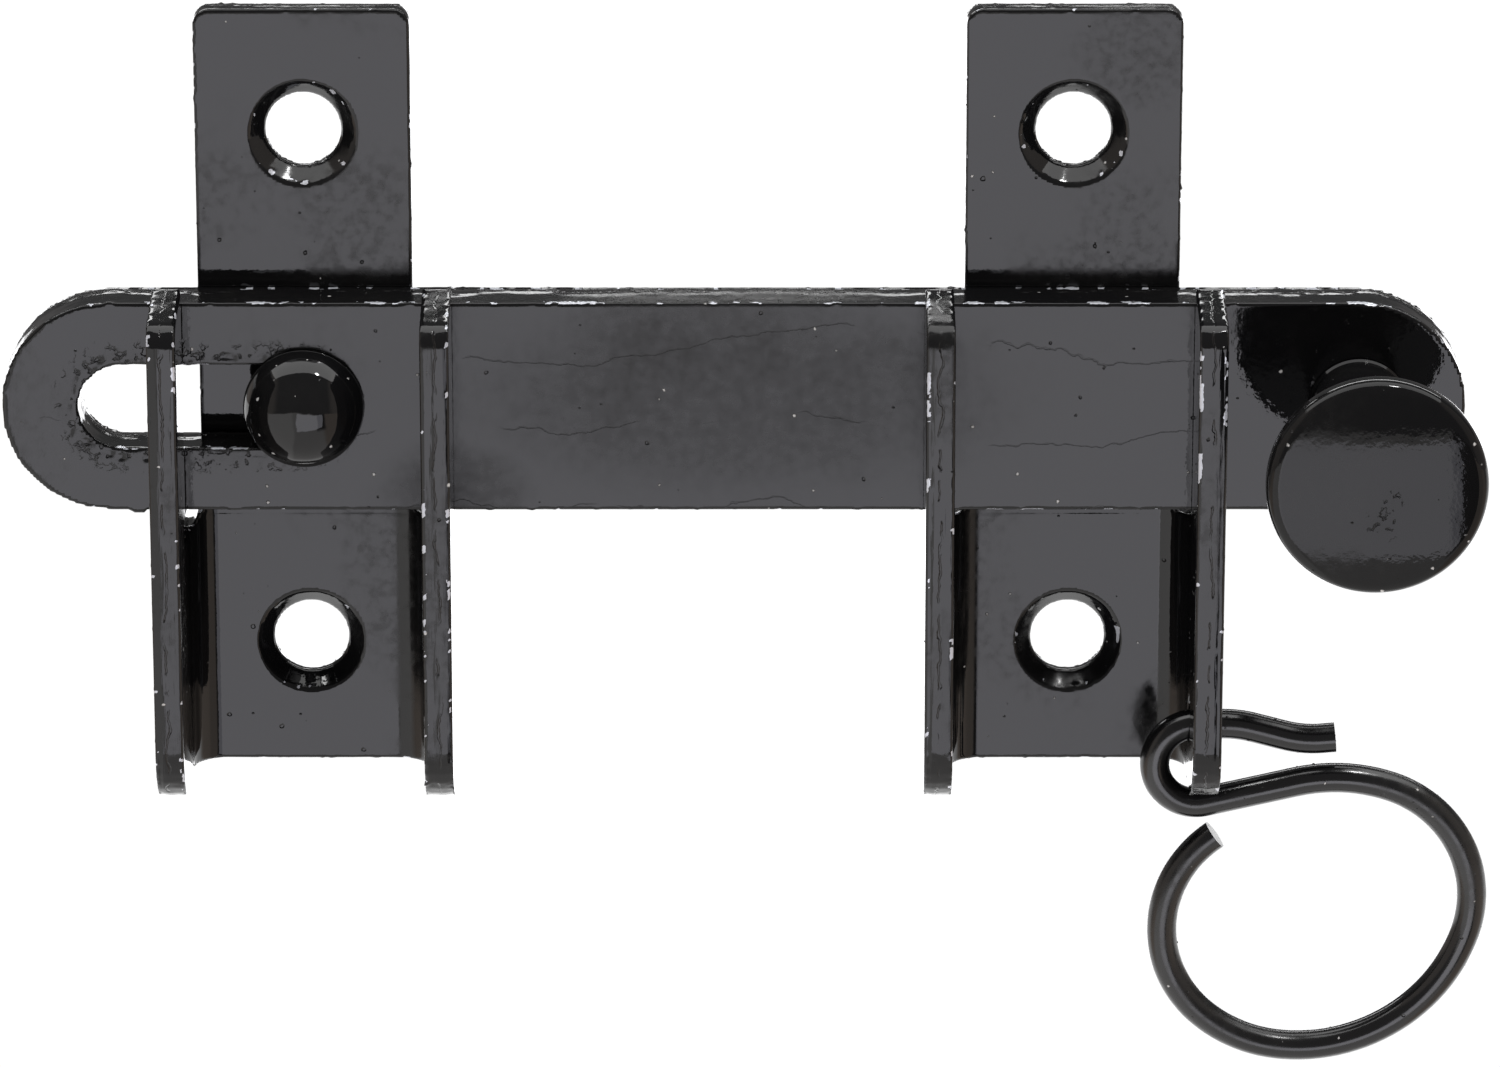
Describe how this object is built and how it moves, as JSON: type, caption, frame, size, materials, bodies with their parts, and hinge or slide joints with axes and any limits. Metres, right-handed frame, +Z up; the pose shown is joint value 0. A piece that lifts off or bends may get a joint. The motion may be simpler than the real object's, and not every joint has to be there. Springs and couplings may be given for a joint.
{
  "type": "toggle bolt latch",
  "caption": "Black enamelled surface slide bolt: a flat slotted bar with a mushroom knob runs through folded brackets with open arms, and a wire ring hangs from one bracket.",
  "frame": {"origin": "on the back face of the right bracket's strap, on the bolt bar's centre line, midway between the bracket's ears", "axes": "+X along the bolt bar, away from its tip and towards the knob; +Y from the bracket's back into the door; +Z up, with the ring hanging down"},
  "size_m": [0.1558, 0.0387, 0.1132],
  "materials": {
    "left_bracket_enamel": "thick gloss black enamel with orange peel, dust nibs and light wear",
    "right_bracket_enamel": "thick gloss black enamel with orange peel, dust nibs and light wear",
    "stop_rivet_enamel": "thick gloss black enamel with orange peel, dust nibs and light wear",
    "bolt_bar_enamel": "thick gloss black enamel with orange peel, dust nibs and light wear",
    "knob_enamel": "thick gloss black enamel with orange peel, dust nibs and light wear",
    "ring_enamel": "thick gloss black enamel with orange peel, dust nibs and light wear"
  },
  "bodies": {
    "brackets": {"left_bracket": "left_bracket_enamel", "right_bracket": "right_bracket_enamel", "stop_rivet": "stop_rivet_enamel"},
    "bolt": {"bolt_bar": "bolt_bar_enamel", "knob": "knob_enamel"},
    "ring": {"ring": "ring_enamel"}
  },
  "joints": [
    {"name": "bolt_slide", "type": "slide", "parent": "brackets", "child": "bolt", "axis": [1, 0, 0], "range_m": [0, 0.019]},
    {"name": "ring_swing", "type": "hinge", "parent": "brackets", "child": "ring", "pos_m": [0.014, -0.0104, -0.0345], "axis": [1, 0, 0], "range_deg": [-18, 13]}
  ]
}
